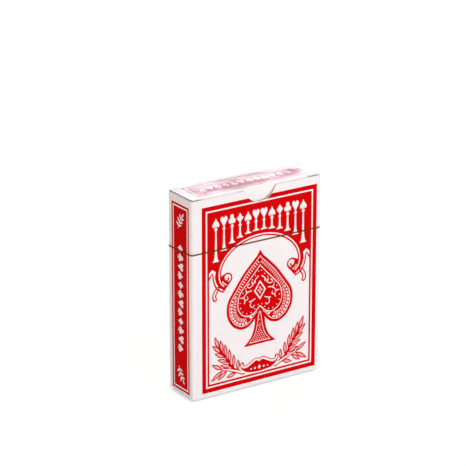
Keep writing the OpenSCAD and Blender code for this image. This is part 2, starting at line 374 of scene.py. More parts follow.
@dataclass
class FramedArt:
    """Print with a band, a bare line and a field inside them, all in millimetres from its bottom middle."""

    half_w: float
    height: float
    band: float
    line: float

    def draw(self) -> Artwork:
        """Draws the band, the bare line, the field and what lies on it.

        Returns:
            The artwork.
        """
        art = Artwork()
        for layer, depth in ((Layer.INK, 0.0), (Layer.BARE, self.band), (Layer.INK, self.band + self.line)):
            art.draw(layer, rectangle(self.half_w - depth, depth, self.height - depth))
        self.fill(art)
        return art

    def fill(self, art: Artwork) -> None:
        """Draws what lies on the field, which is plain here."""


@dataclass
class FrontArt(FramedArt):
    """Print of the front: an arch of tall pips over a big spade, between sprigs and over a cartouche."""

    rule: float = 0.9
    arch_v: float = 52.44
    arch_a: float = 21.25
    arch_b: float = 15.3
    notch_u: float = 0.06
    notch_v: float = 90.72
    notch_r: float = 8.45
    spade_u: float = 0.15
    pips_top: float = 79.1
    pip_w: float = 3.5
    pip_h: float = 4.9
    post_pitch: float = 4.1
    feet_a: float = 24.6
    feet_b: float = 17.0
    arch_gap: float = 0.95
    arch_line: float = 0.7
    hook_w: float = 2.1
    hook_bare: float = 0.8
    scroll_rim: float = 0.72
    spade_rim: float = 1.32
    spade_line: float = 1.63
    field_v: float = 41.9
    leaf_w: float = 2.1
    leaf_bare: float = 0.98
    leaf_share: float = 0.82
    vein_w: float = 0.22

    SPADE_SIDE = [
        (0.0, 60.4), (1.65, 57.9), (4.3, 55.3), (8.8, 50.7), (13.65, 44.2), (16.35, 40.1), (17.24, 36.3),
        (16.75, 32.2), (14.6, 28.4), (11.85, 26.3), (9.2, 25.45), (6.1, 26.0), (3.7, 27.7),
        (2.2, 29.6), (0.0, 31.6),
    ]
    HEART_SIDE = [
        (0.0, 53.35), (3.4, 49.6), (6.95, 45.9), (10.35, 42.0), (11.4, 37.9), (11.1, 34.9), (9.2, 32.2),
        (6.15, 31.0), (3.15, 31.8), (1.05, 33.7), (0.0, 34.6),
    ]
    STEM_SIDE = [(0.0, 30.6), (2.1, 29.4), (2.7, 26.9), (3.15, 24.2), (4.9, 20.4), (8.45, 17.0)]

    def fill(self, art: Artwork) -> None:
        """Draws the arch, the pips, the spade, the sprigs and the cartouche, and clears the notch."""
        window = self.band + self.line + self.rule
        art.draw(Layer.BARE, rectangle(self.half_w - window, window, self.arch_v + 4.6))
        self.draw_arch(art)
        self.draw_tall_pips(art)
        self.draw_spade(art)
        self.draw_sprigs(art)
        self.draw_cartouche(art)
        art.draw(Layer.BARE, oval(self.notch_u, self.notch_v, self.notch_r, self.notch_r, steps=64))

    def draw_arch(self, art: Artwork) -> None:
        """Draws the arch with a scroll and a hook at each end."""
        a, b, v, gap = self.arch_a, self.arch_b, self.arch_v, self.arch_gap
        art.draw(Layer.BARE, oval(0, v, a, b, 0, 180, 72))
        art.draw(Layer.INK, stroke(oval(0, v, a - gap, b - gap, -2, 182, 72), self.arch_line))
        hook = smooth([(21.7, 46.9), (23.0, 45.0), (23.45, 43.5), (23.05, 42.2)])
        art.draw_pair(Layer.INK, stroke(hook, self.hook_w))
        art.draw_pair(Layer.BARE, stroke([(u, w + 0.1) for u, w in hook], self.hook_bare))
        inner = self.half_w - self.band - self.line
        tail = smooth([(22.65, 54.75), (23.05, 52.4), (22.4, 49.8), (21.0, 47.5), (18.9, 45.8)])
        roll = oval(16.75, 50.75, 2.6, 2.6, 215, 60, 16)
        scroll = [(inner, v + 5.0), (inner, 53.9), (24.4, 56.1)] + tail + [(18.6, 44.8)] + roll
        scroll += [(19.9, 52.2), (a, v), (a - 0.1, v + 1.5), (a - 0.65, v + 3.6), (a - 1.15, v + 5.0)]
        art.draw_pair(Layer.INK, scroll)
        crease = smooth([(20.93, 53.2), (20.75, 51.0), (20.1, 49.2), (18.6, 47.5)])
        art.draw_pair(Layer.BARE, stroke(crease, 0.58))
        art.draw_pair(Layer.BARE, oval(16.6, 50.9, 1.72, 1.72))
        curl = smooth([(18.6, 51.9), (18.1, 50.2), (17.1, 49.6), (16.25, 50.05), (16.2, 50.8)])
        art.draw_pair(Layer.INK, stroke(curl, 0.78))
        art.draw_pair(Layer.BARE, stroke([(19.2, 49.7), (18.4, 48.7), (17.3, 47.9)], 0.4))
        rim = [(26.5, 51.4), (25.4, 53.0), (24.35, 54.5)]
        rim += smooth([(24.0, 52.9), (23.85, 51.2), (23.15, 48.9), (21.6, 46.5), (18.8, 44.9)])
        art.draw_pair(Layer.INK, stroke(rim, self.scroll_rim))

    def draw_tall_pips(self, art: Artwork) -> None:
        """Draws a row of pips whose feet reach down to the arch."""
        half_row = [Suit.HEART, Suit.SPADE, Suit.DIAMOND, Suit.CLUB, Suit.HEART, Suit.SPADE]
        for i, suit in enumerate(half_row):
            u = self.post_pitch / 2 + self.post_pitch * i
            foot = self.arch_v + self.feet_b * math.sqrt(1 - (u / self.feet_a) ** 2)
            head = self.pips_top - self.pip_h
            post = [
                (0.32, head + 0.7), (0.42, 0.65 * head + 0.35 * foot),
                (0.6, 0.25 * head + 0.75 * foot), (1.3, foot),
            ]
            shapes = pip(suit, self.pip_w, self.pip_h)
            art.draw_pair(Layer.BARE, *[placed(shape, u, head) for shape in shapes])
            art.draw_pair(Layer.BARE, placed(whole(smooth(post, steps=4)), u, 0))
            step = placed(rectangle(1.6, foot, foot + 0.55), u, 0)
            art.draw_pair(Layer.BARE, step, oval(u, head - 0.5, 0.85, 0.45))

    def draw_spade(self, art: Artwork) -> None:
        """Draws the big spade: rim, beaded band, inner field and latticed stem."""
        outer = smooth(self.SPADE_SIDE, steps=8)
        heart = smooth(self.HEART_SIDE, steps=8)
        stem = smooth(self.STEM_SIDE[:2], steps=2) + smooth(self.STEM_SIDE[2:], steps=6)
        parts: list[tuple[Layer, Outline]] = [
            (Layer.INK, whole(outer)),
            (Layer.INK, whole(stem)),
            (Layer.BARE, whole(inset(outer, self.spade_rim))),
            (Layer.INK, whole(inset(outer, self.spade_line))),
        ]
        for (u, v), (du, dv) in spaced(inset(outer, 2.1), 1.2):
            if u > 1.2 and v > 41.0:
                parts.append((Layer.BARE, stroke([(u, v), (u + dv * 1.1, v - du * 1.1)], 0.34)))
        for (u, v), (du, dv) in spaced(inset(outer, 2.45), 1.62):
            if v <= 41.4 and (v > 30 or u > 6.4):
                lobe = min((42.4 - v) / 6, 1.0)
                r = 0.34 + 0.26 * lobe
                parts.append((Layer.BARE, oval(u, v, r, r, steps=14)))
                for side in (-0.4, 0.4):
                    root = (u + du * side + dv * (r + 0.35), v + dv * side - du * (r + 0.35))
                    long = 0.7 + 0.75 * lobe
                    end = (root[0] + dv * long, root[1] - du * long)
                    parts.append((Layer.BARE, stroke([root, end], 0.24)))
        parts += [
            (Layer.INK, whole([(0.0, 33.9), (1.5, 32.4), (2.5, 29.6), (2.75, 27.2)])),
            (Layer.BARE, whole(inset(heart, -0.2))),
            (Layer.INK, whole(inset(heart, 0.2))),
        ]
        for layer, outline in parts:
            if all(u > 0.05 for u, _ in outline):
                art.draw(layer, placed(mirrored(outline), self.spade_u, 0))
            art.draw(layer, placed(outline, self.spade_u, 0))
        self.draw_spade_field(art, heart)
        self.draw_stem_lattice(art)

    def draw_spade_field(self, art: Artwork, heart: Outline) -> None:
        """Draws a lozenge, curling vines and dots on the spade's inner field."""
        c, v = self.spade_u, self.field_v
        art.draw(Layer.BARE, [(c, v + 4.5), (c + 3.1, v), (c, v - 4.5), (c - 3.1, v)])
        art.draw(Layer.INK, [(c, v + 3.4), (c + 2.32, v), (c, v - 3.4), (c - 2.32, v)])
        for turn, tip in ((0, 1.7), (90, 1.35), (180, 1.7), (270, 1.35)):
            art.draw(Layer.BARE, placed(leaf((0, 0.3), (0, tip), 0.8), c, v, 1, turn))
        vines = [
            [(0.9, 48.4), (2.6, 46.9), (3.7, 45.0), (5.4, 44.0), (6.5, 44.8), (5.9, 45.8)],
            [(4.4, 42.4), (6.6, 41.9), (8.2, 40.2), (7.6, 38.6), (6.3, 39.0), (6.6, 40.0)],
            [(2.6, 38.3), (4.4, 37.5), (5.0, 35.6), (3.7, 34.6), (2.9, 35.5)],
        ]
        buds = [((3.7, 45.0), (4.5, 46.8)), ((6.6, 41.9), (7.6, 43.4)), ((8.2, 40.2), (9.8, 39.9)),
                ((4.4, 37.5), (5.9, 37.6)), ((7.6, 38.6), (8.3, 36.9)), ((2.6, 46.9), (2.4, 45.4))]
        for side in (1, -1):
            for vine in vines:
                art.draw(Layer.BARE, [(c + side * u, w) for u, w in stroke(smooth(vine), 0.44, 0.34)])
            for base, tip in buds:
                art.draw(Layer.BARE, [(c + side * u, w) for u, w in leaf(base, tip, 0.58)])
            for (u, w), _ in spaced(inset(heart, 1.15), 2.35):
                if u > 0.4:
                    art.draw(Layer.BARE, oval(c + side * u, w, 0.26, 0.26, steps=10))

    def draw_stem_lattice(self, art: Artwork) -> None:
        """Draws rows of small lozenges inside a bare outline on the spade's stem."""
        side = smooth([(0.5, 31.9), (0.95, 29.4), (1.4, 26.6), (2.0, 23.7), (3.2, 20.9), (5.6, 18.1)])
        art.draw(Layer.BARE, placed(whole([(0.0, 32.2)] + side), self.spade_u, 0))
        inner = [(u - 0.31, v) for u, v in side[:-1]] + [(4.95, 18.45)]
        art.draw(Layer.INK, placed(whole([(0.0, 31.7)] + inner), self.spade_u, 0))
        for row in range(11):
            v = 19.0 + 0.92 * row
            half = next(u for u, w in reversed(inner) if w >= v) - 0.25
            count = int(half / 0.5)
            for k in range(-count, count + 1):
                u = 1.0 * (k + 0.5 * (row % 2))
                if abs(u) + 0.3 < half:
                    art.draw(Layer.BARE, lozenge(self.spade_u + u, v, 0.31, 0.28))

    def draw_sprigs(self, art: Artwork) -> None:
        """Draws a leafy sprig at each lower corner."""
        stem = [(8.4, 5.5), (11.5, 7.0), (14.0, 8.8), (15.8, 11.5), (17.5, 14.3), (19.3, 16.8), (21.2, 19.3)]
        branch = smooth([(8.4, 5.3), (12.5, 7.0), (16.7, 8.5), (19.4, 9.2)])
        leaves = [
            ((21.0, 19.0), (23.3, 25.3)), ((19.8, 17.0), (24.6, 21.4)), ((18.0, 14.6), (23.4, 17.5)),
            ((16.4, 12.0), (22.0, 14.3)), ((14.8, 9.6), (20.6, 11.3)), ((19.2, 16.9), (20.4, 23.2)),
            ((17.4, 14.4), (18.0, 20.9)), ((15.4, 11.6), (15.8, 18.2)), ((13.6, 8.9), (13.4, 15.2)),
            ((11.2, 7.2), (11.1, 12.2)), ((19.2, 9.1), (24.9, 12.6)), ((19.2, 8.6), (25.3, 4.6)),
            ((17.0, 8.0), (21.8, 4.5)), ((12.1, 6.2), (17.3, 4.8)),
        ]
        for base, tip in leaves:
            du, dv = tip[0] - base[0], tip[1] - base[1]
            stalk, *vein = [(base[0] + du * k, base[1] + dv * k) for k in (0.2, 0.1, 0.88)]
            art.draw_pair(Layer.INK, leaf(base, tip, self.leaf_w), stroke([base, stalk], 0.8))
            art.draw_pair(Layer.BARE, leaf(base, tip, self.leaf_bare, self.leaf_share))
            art.draw_pair(Layer.INK, stroke(vein, self.vein_w))
        art.draw_pair(Layer.INK, stroke(smooth(stem), 1.3, 0.7))
        art.draw_pair(Layer.INK, stroke(branch, 2.1, 1.1))
        art.draw_pair(Layer.BARE, stroke(branch, 1.0, 0.35))

    def draw_cartouche(self, art: Artwork) -> None:
        """Draws a boat-shaped cartouche with a ribbon on top, and a diamond and four dots inside."""
        boat = smooth([(0.0, 8.9), (1.6, 9.3), (4.0, 8.3), (6.3, 7.1), (8.2, 7.3), (9.8, 8.5)], steps=4)
        boat += smooth([(9.6, 7.4), (8.0, 5.7), (5.0, 4.4), (0.0, 3.75)], steps=5)
        shade = [(u + 0.5, v - 0.35) for u, v in boat[1:-1]]
        art.draw(Layer.BARE, whole([(0.0, 10.8)] + shade + [(0.0, 3.45)]))
        art.draw(Layer.INK, whole(boat))
        keel = smooth([(9.0, 6.5), (7.4, 5.25), (4.8, 4.35), (-0.3, 3.9)])
        art.draw_pair(Layer.BARE, stroke(keel, 0.34))
        fold = [(9.2, 9.3), (8.9, 8.2), (7.9, 7.55), (6.2, 7.75), (3.9, 8.9), (1.7, 9.9), (0.2, 9.3)]
        ribbon = smooth(fold)
        art.draw_pair(Layer.INK, stroke(ribbon, 1.7))
        art.draw_pair(Layer.INK, oval(9.0, 9.35, 0.92, 0.92))
        art.draw_pair(Layer.BARE, stroke(ribbon, 0.85))
        art.draw_pair(Layer.INK, oval(8.75, 9.3, 0.26, 0.26, steps=10))
        art.draw(Layer.BARE, *[placed(o, 0, 4.95) for o in pip(Suit.DIAMOND, 1.7, 2.3)])
        for u, v, r in ((2.3, 6.0, 0.48), (4.3, 5.95, 0.38)):
            art.draw_pair(Layer.BARE, oval(u, v, r, r, steps=14))


@dataclass
class StripArt(FramedArt):
    """Print of a narrow side or of the lid: a row of pips between two sprays of leaves."""

    upright: bool
    first: float
    pitch: float
    count: int
    pip_w: float = 3.5
    pip_h: float = 4.3
    spray_high: float = 74.0
    spray_low: float = 11.0

    def fill(self, art: Artwork) -> None:
        """Draws the row of pips and, on an upright strip, the sprays."""
        suits = list(Suit)
        for i in range(self.count):
            along = self.first + self.pitch * i
            for outline in pip(suits[i % len(suits)], self.pip_w, self.pip_h):
                centred = placed(outline, 0, -self.pip_h / 2)
                spot = (0, along, 1, -90) if self.upright else (along, self.height / 2)
                art.draw(Layer.BARE, placed(centred, *spot))
        if self.upright:
            self.draw_spray(art, self.spray_high, 1)
            self.draw_spray(art, self.spray_low, -1)

    def draw_spray(self, art: Artwork, v: float, way: int) -> None:
        """Draws a spray of leaves.

        Args:
            art: Artwork that takes it.
            v: Height of its root.
            way: 1 if it grows upwards, -1 if it grows down.
        """
        stem = [(-1.6, 0.0), (-0.9, 2.3), (0.4, 4.5), (2.0, 6.4)]
        tips = [
            ((-1.2, 1.2), (-3.0, 3.0)), ((-0.6, 2.9), (-2.1, 5.2)), ((0.4, 4.4), (-0.4, 6.9)),
            ((-1.2, 1.3), (1.1, 1.7)), ((-0.6, 2.8), (2.1, 3.2)), ((0.5, 4.5), (3.0, 4.8)),
            ((1.2, 5.4), (2.7, 7.6)),
        ]
        art.draw(Layer.BARE, [(a, v + way * b) for a, b in stroke(smooth(stem), 0.4)])
        for base, tip in tips:
            art.draw(Layer.BARE, [(a, v + way * b) for a, b in leaf(base, tip, 1.0)])


@dataclass
class LatticeArt(FramedArt):
    """Print of the back and of a card's back: a lattice with dots round a medallion of pips."""

    cell_u: float
    cell_v: float
    medallion: float
    margin: float = 0.55
    bar_u: float = 0.34
    bar_v: float = 0.42
    core: float = 0.52
    dot: float = 0.3
    beads: int = 28
    bead: float = 0.28
    bead_depth: float = 1.05

    def fill(self, art: Artwork) -> None:
        """Draws the lattice and the medallion."""
        edge = self.band + self.line + self.margin
        half, tall = self.half_w - edge, (self.height - edge - edge) / 2
        columns, rows = round(half / self.cell_u), round(tall / self.cell_v)
        step_u, step_v = half / columns, tall / rows
        for row in range(1 - rows, rows):
            for column in range(1 - columns, columns):
                if (row + column) % 2:
                    centre = (column * step_u, self.height / 2 + row * step_v)
                    art.draw(Layer.BARE, lozenge(*centre, step_u - self.bar_u, step_v - self.bar_v))
                    art.draw(Layer.INK, lozenge(*centre, step_u * self.core, step_v * self.core))
                    art.draw(Layer.BARE, oval(*centre, self.dot, self.dot, steps=8))
        self.draw_medallion(art)

    def draw_medallion(self, art: Artwork) -> None:
        """Draws rings round four pips in the middle of the print."""
        mid, r = self.height / 2, self.medallion
        rings = ((Layer.BARE, r), (Layer.INK, r - 0.5), (Layer.BARE, r - 1.6), (Layer.INK, r - 2.1))
        for layer, radius in rings:
            art.draw(layer, oval(0, mid, radius, radius, steps=64))
        ring = r - self.bead_depth
        for i in range(self.beads):
            angle = math.tau * i / self.beads
            spot = (ring * math.cos(angle), mid + ring * math.sin(angle))
            art.draw(Layer.BARE, oval(*spot, self.bead, self.bead, steps=8))
        for i, suit in enumerate(Suit):
            for outline in pip(suit, r * 0.36, r * 0.42):
                art.draw(Layer.BARE, placed(placed(outline, 0, r * 0.22), 0, mid, 1, -90.0 * i))


@dataclass
class Wiring:
    """Node tree of a material or of the world, cleared and ready to be wired."""

    tree: bpy.types.NodeTree

    def __post_init__(self) -> None:
        self.tree.nodes.clear()

    def add(self, kind: str, options: dict[str, object] | None = None, **values: object) -> bpy.types.Node:
        """Adds a node.

        Args:
            kind: Type of the node.
            options: Settings of the node itself.
            **values: Values of its inputs, or what feeds them, with _ for a space.

        Returns:
            The node.
        """
        node = self.tree.nodes.new(kind)
        for name, value in (options or {}).items():
            setattr(node, name, value)
        for name, value in values.items():
            target = node.inputs[name.replace("_", " ")]
            if isinstance(value, Socket):
                self.join(value, target)
            else:
                target.default_value = value
        return node

    def join(self, source: Socket, target: Socket) -> None:
        """Links an output to an input."""
        self.tree.links.new(source, target)

    def noise(self, scale: float, detail: float, stretch: Axes = (1, 1, 1)) -> Socket:
        """Adds a noise on the object's own coordinates.

        Args:
            scale: Grains to a metre.
            detail: Levels of finer grain.
            stretch: Factor on the grains to a metre along each axis.

        Returns:
            The noise, from 0 to 1.
        """
        where = self.add("ShaderNodeTexCoord").outputs["Object"]
        mapping = self.add("ShaderNodeMapping", Vector=where, Scale=stretch).outputs["Vector"]
        texture = self.add("ShaderNodeTexNoise", Vector=mapping, Scale=scale, Detail=detail)
        return texture.outputs[0]

    def calculate(self, operation: str, *sources: Socket) -> Socket:
        """Works out one value from others.

        Args:
            operation: What is done with them.
            *sources: The values.

        Returns:
            The result.
        """
        node = self.add("ShaderNodeMath", {"operation": operation})
        for source, target in zip(sources, node.inputs):
            self.join(source, target)
        return node.outputs[0]

    def spread(self, source: Socket, low: float, high: float, start: float, stop: float | Socket) -> Socket:
        """Maps a value to another range, smoothly and without running past its ends.

        Args:
            source: The value.
            low: Value that gives start.
            high: Value that gives stop.
            start: First result.
            stop: Last result.

        Returns:
            The result.
        """
        node = self.add(
            "ShaderNodeMapRange", {"interpolation_type": "SMOOTHSTEP"}, Value=source,
            From_Min=low, From_Max=high, To_Min=start, To_Max=stop,
        )
        return node.outputs["Result"]

    def tones(self, source: Socket, stops: list[tuple[float, Colour]]) -> Socket:
        """Turns a value into a colour.

        Args:
            source: The value, from 0 to 1.
            stops: Places and colours of the ramp's two ends.

        Returns:
            The colour.
        """
        node = self.add("ShaderNodeValToRGB", Fac=source)
        for element, (place, colour) in zip(node.color_ramp.elements, stops):
            element.position = place
            element.color = (*colour, 1)
        return node.outputs["Color"]

    def bump(self, height: Socket, strength: float, depth: float) -> Socket:
        """Adds a bump.

        Args:
            height: Height pattern.
            strength: Share of the bump that shows.
            depth: Its depth in metres.

        Returns:
            The bumped normal.
        """
        return self.add("ShaderNodeBump", Strength=strength, Distance=depth, Height=height).outputs["Normal"]

    def blend(self, share: Socket | float, under: Socket, over: Socket) -> Socket:
        """Mixes two shaders.

        Args:
            share: Share of the second one.
            under: First shader.
            over: Second shader.

        Returns:
            The mixed shader.
        """
        mix = self.add("ShaderNodeMixShader", Fac=share)
        self.join(under, mix.inputs[1])
        self.join(over, mix.inputs[2])
        return mix.outputs["Shader"]

    def show(self, shader: Socket, kind: str = "ShaderNodeOutputMaterial") -> None:
        """Ends the tree with a shader.

        Args:
            shader: What shows.
            kind: Type of the last node.
        """
        self.join(shader, self.add(kind).inputs["Surface"])


def new_material(name: str) -> tuple[Material, Wiring]:
    """Makes an empty node material.

    Args:
        name: Its name.

    Returns:
        The material and its wiring.
    """
    material = bpy.data.materials.new(name)
    material.use_nodes = True
    return material, Wiring(material.node_tree)


@dataclass(frozen=True)
class CutZone:
    """Where cut faces show the core of the board, which also paints the shade of the gaps beside them: reach
    from the middle and heights, in metres.
    """

    reach: float = 1.0
    low: float = -1.0
    high: float = 1.0


@dataclass(frozen=True)
class PaperFinish:
    """Coated paper, board or ink, with faint mottling, fibres and an uneven gloss."""

    name: str
    pale: Colour
    deep: Colour
    cloud: float
    fibre: float
    fibre_stretch: Axes
    gloss: Span
    shine: float
    relief: float
    cut: CutEdge = CutEdge.NONE
    zone: CutZone = CutZone()
    # Colours of the cut faces: the board's core, dark enough to paint the shade of the gaps beside the lid's
    # ends as well
    core: tuple[Colour, Colour] = ((0.2, 0.13, 0.08), (0.4, 0.3, 0.21))

    def build(self) -> Material:
        """Builds the material.

        Returns:
            The material.
        """
        material, wiring = new_material(self.name)
        clouds = wiring.noise(self.cloud, 3.0)
        fibres = wiring.noise(self.fibre, 2.0, self.fibre_stretch)
        coat = wiring.tones(clouds, [*zip(NOISE_SPAN, (self.deep, self.pale))])
        shader = wiring.add(
            "ShaderNodeBsdfPrincipled",
            Base_Color=self.edged(wiring, coat, fibres),
            Roughness=wiring.spread(fibres, *NOISE_SPAN, *self.gloss),
            Specular_IOR_Level=self.shine,
            Normal=wiring.bump(fibres, 0.25, self.relief),
        )
        wiring.show(shader.outputs["BSDF"])
        return material

    def edged(self, wiring: Wiring, colour: Socket, fibres: Socket) -> Socket:
        """Shows the core of the board on its cut faces, in tones that also paint the shade of the gaps beside
        them.

        Args:
            wiring: Node tree that asks.
            colour: Colour of the coated faces.
            fibres: Fibre pattern.

        Returns:
            The colour with the core, and its painted gap shade, in it.
        """
        if self.cut is CutEdge.NONE:
            return colour
        mix = wiring.add("ShaderNodeMix", {"data_type": "RGBA"})
        wiring.join(self.cut_mask(wiring), mix.inputs[0])
        wiring.join(colour, mix.inputs[6])
        wiring.join(wiring.tones(fibres, [*zip(NOISE_SPAN, self.core)]), mix.inputs[7])
        return mix.outputs[2]

    def cut_mask(self, wiring: Wiring) -> Socket:
        """Finds the cut faces by where they point and where they lie.

        Args:
            wiring: Node tree that asks.

        Returns:
            1 on a cut face, and 0 elsewhere.
        """
        axis, along = self.cut.value
        zone, blur = self.zone, EDGE_BLUR
        where = wiring.add("ShaderNodeTexCoord").outputs
        points = wiring.add("ShaderNodeSeparateXYZ", Vector=where["Normal"])
        place = wiring.add("ShaderNodeSeparateXYZ", Vector=where["Object"])
        faces = wiring.calculate("ABSOLUTE", points.outputs[axis])
        aside = wiring.calculate("ABSOLUTE", place.outputs["X"])
        tests = [
            wiring.spread(faces, *FACING_SPAN, 1 - along, along),
            wiring.spread(aside, zone.reach - blur, zone.reach, 1.0, 0.0),
            wiring.spread(place.outputs["Z"], zone.low - blur, zone.low, 0.0, 1.0),
            wiring.spread(place.outputs["Z"], zone.high - blur, zone.high, 1.0, 0.0),
        ]
        mask = tests[0]
        for test in tests[1:]:
            mask = wiring.calculate("MULTIPLY", mask, test)
        return mask


@dataclass(frozen=True)
class CardFinish(PaperFinish):
    """Card paper whose edges show each card of the deck, with a tone of its own and a painted shade line for
    the gap beside it.
    """

    first_y: float = -0.00656
    pitch: float = 0.00028
    span: int = 64
    # Painted shade lines for the gaps between cards: where they start and end on each card, and how dark they
    # get
    near_gap_shade: Span = (0.0, 0.14)
    far_gap_shade: Span = (0.82, 0.96)
    gap_shade_tone: float = 0.6
    least_tone: float = 0.94

    def edged(self, wiring: Wiring, colour: Socket, fibres: Socket) -> Socket:
        """Gives each card a tone of its own and paints the shade of the gap between cards.

        Args:
            wiring: Node tree that asks.
            colour: Colour of the paper.
            fibres: Fibre pattern, which isn't used here.

        Returns:
            The colour with the cards in it.
        """
        where = wiring.add("ShaderNodeTexCoord").outputs["Object"]
        place = wiring.add("ShaderNodeSeparateXYZ", Vector=where)
        last_y = self.first_y + self.span * self.pitch
        card = wiring.add(
            "ShaderNodeMapRange", {"clamp": False}, Value=place.outputs["Y"],
            From_Min=self.first_y, From_Max=last_y, To_Min=0.0, To_Max=float(self.span),
        ).outputs["Result"]
        number = wiring.calculate("FLOOR", card)
        tone = wiring.add("ShaderNodeTexWhiteNoise", {"noise_dimensions": "1D"}, W=number)
        share = wiring.calculate("FRACT", card)
        # Painted shade: each card's paper darkens towards both its faces, where the gap to the next card lies
        near = wiring.spread(share, *self.near_gap_shade, self.gap_shade_tone, 1.0)
        far = wiring.spread(share, *self.far_gap_shade, 1.0, self.gap_shade_tone)
        paper = wiring.spread(tone.outputs["Value"], 0.0, 1.0, self.least_tone, 1.0)
        shade = wiring.calculate("MULTIPLY", wiring.calculate("MULTIPLY", near, far), paper)
        scale = wiring.add("ShaderNodeVectorMath", {"operation": "SCALE"}, Vector=colour, Scale=shade)
        return scale.outputs[0]


@dataclass(frozen=True)
class FilmFinish:
    """Clear film that turns greyer and glossy where it is seen aslant, with slow ripples in its shine."""

    name: str
    clear: Colour
    aslant: Colour
    shine: Colour
    glint: float
    sheen: Span
    greys: float
    starts: float
    full: float
    roughness: float
    ripple: float = 60.0
    ripple_depth: float = 0.0006
    crease: float = 170.0
    crease_span: Span = (0.43, 0.6)

    def build(self) -> Material:
        """Builds the material.

        Returns:
            The material.
        """
        material, wiring = new_material(self.name)
        facing = wiring.add("ShaderNodeLayerWeight", Blend=0.5).outputs["Facing"]
        tint = wiring.tones(facing, [(self.greys, self.clear), (self.full, self.aslant)])
        through = wiring.add("ShaderNodeBsdfTransparent", Color=tint)
        ripples = wiring.noise(self.ripple, 2.0, (1.0, 1.0, 0.5))
        shine = wiring.add(
            "ShaderNodeBsdfAnisotropic", Color=(*self.shine, 1), Roughness=self.roughness,
            Normal=wiring.bump(ripples, 0.35, self.ripple_depth),
        )
        creases = wiring.noise(self.crease, 3.0, (0.35, 1.0, 1.0))
        sheen = wiring.spread(creases, *self.crease_span, *self.sheen)
        share = wiring.spread(facing, self.starts, self.full, self.glint, sheen)
        wiring.show(wiring.blend(share, through.outputs["BSDF"], shine.outputs["BSDF"]))
        return material


@dataclass(frozen=True)
class TapeFinish:
    """Thin see-through gold tape, streaked along its length."""

    name: str
    clear: Colour
    light: Colour
    dark: Colour
    metal: float
    gloss: Span
    cover: float
    streak: float = 900.0
    streak_depth: float = 0.00003

    def build(self) -> Material:
        """Builds the material.

        Returns:
            The material.
        """
        material, wiring = new_material(self.name)
        streaks = wiring.noise(self.streak, 3.0, (0.12, 0.12, 5.0))
        shader = wiring.add(
            "ShaderNodeBsdfPrincipled",
            Base_Color=wiring.tones(streaks, [(0.3, self.dark), (0.72, self.light)]),
            Metallic=self.metal,
            Roughness=wiring.spread(streaks, *NOISE_SPAN, *self.gloss),
            Normal=wiring.bump(streaks, 0.3, self.streak_depth),
        )
        through = wiring.add("ShaderNodeBsdfTransparent", Color=(*self.clear, 1))
        wiring.show(wiring.blend(self.cover, through.outputs["BSDF"], shader.outputs["BSDF"]))
        return material


BOARD = PaperFinish(
    name="white_board", pale=(0.93, 0.9, 0.895), deep=(0.9, 0.868, 0.86), cloud=260.0, fibre=5200.0,
    fibre_stretch=(1.0, 1.0, 0.35), gloss=(0.42, 0.56), shine=0.1, relief=0.00001,
)
# The lid's cut ends take the dark core tones, which paint the shade of the gap beside the side panels as well
# as the board's core
LID_BOARD = replace(BOARD, name="lid_board", cut=CutEdge.ENDS)
# The front's cut faces take paler tones: the board's core, which also paints the thin shade line along the
# notch's rim
FRONT_BOARD = replace(
    BOARD, name="front_board", cut=CutEdge.UPRIGHT_RIM, zone=CutZone(reach=0.0102, low=0.08),
    core=((0.4, 0.33, 0.28), (0.62, 0.55, 0.5)),
)
# The tongue's board is painted paler than the other board: painted light that evens out the shade it gets, set
# back and leaning in behind the notch
TONGUE_BOARD_PAINTED_LIGHT = replace(
    BOARD, name="tongue_board", pale=(0.98, 0.955, 0.95), deep=(0.95, 0.925, 0.92),
    cut=CutEdge.UPRIGHT_RIM, zone=CutZone(high=0.0905),
)
FLAP_BOARD = replace(BOARD, name="flap_board", cut=CutEdge.LEVEL_RIM, zone=CutZone(reach=0.0315))
CARD = CardFinish(
    name="card_paper", pale=(0.93, 0.915, 0.88), deep=(0.89, 0.87, 0.83), cloud=340.0, fibre=6500.0,
    fibre_stretch=(0.4, 1.0, 1.0), gloss=(0.36, 0.5), shine=0.2, relief=0.00001,
)
INK = replace(
    BOARD, name="printed_red", pale=(0.67, 0.001, 0.002), deep=(0.63, 0.0008, 0.0015), cloud=420.0,
    gloss=(0.4, 0.55), shine=0.01, relief=0.000006,
)
FILM = FilmFinish(
    name="clear_wrap", clear=(0.97, 0.975, 0.98), aslant=(0.78, 0.81, 0.84), shine=(1.0, 0.94, 1.0),
    glint=0.001, sheen=(0.27, 0.12), greys=0.44, starts=0.485, full=1.0, roughness=0.24,
)
TAPE = TapeFinish(
    name="tear_gold", clear=(0.64, 0.42, 0.24), light=(0.5, 0.34, 0.1), dark=(0.28, 0.17, 0.04),
    metal=0.7, gloss=(0.35, 0.55), cover=0.12,
)


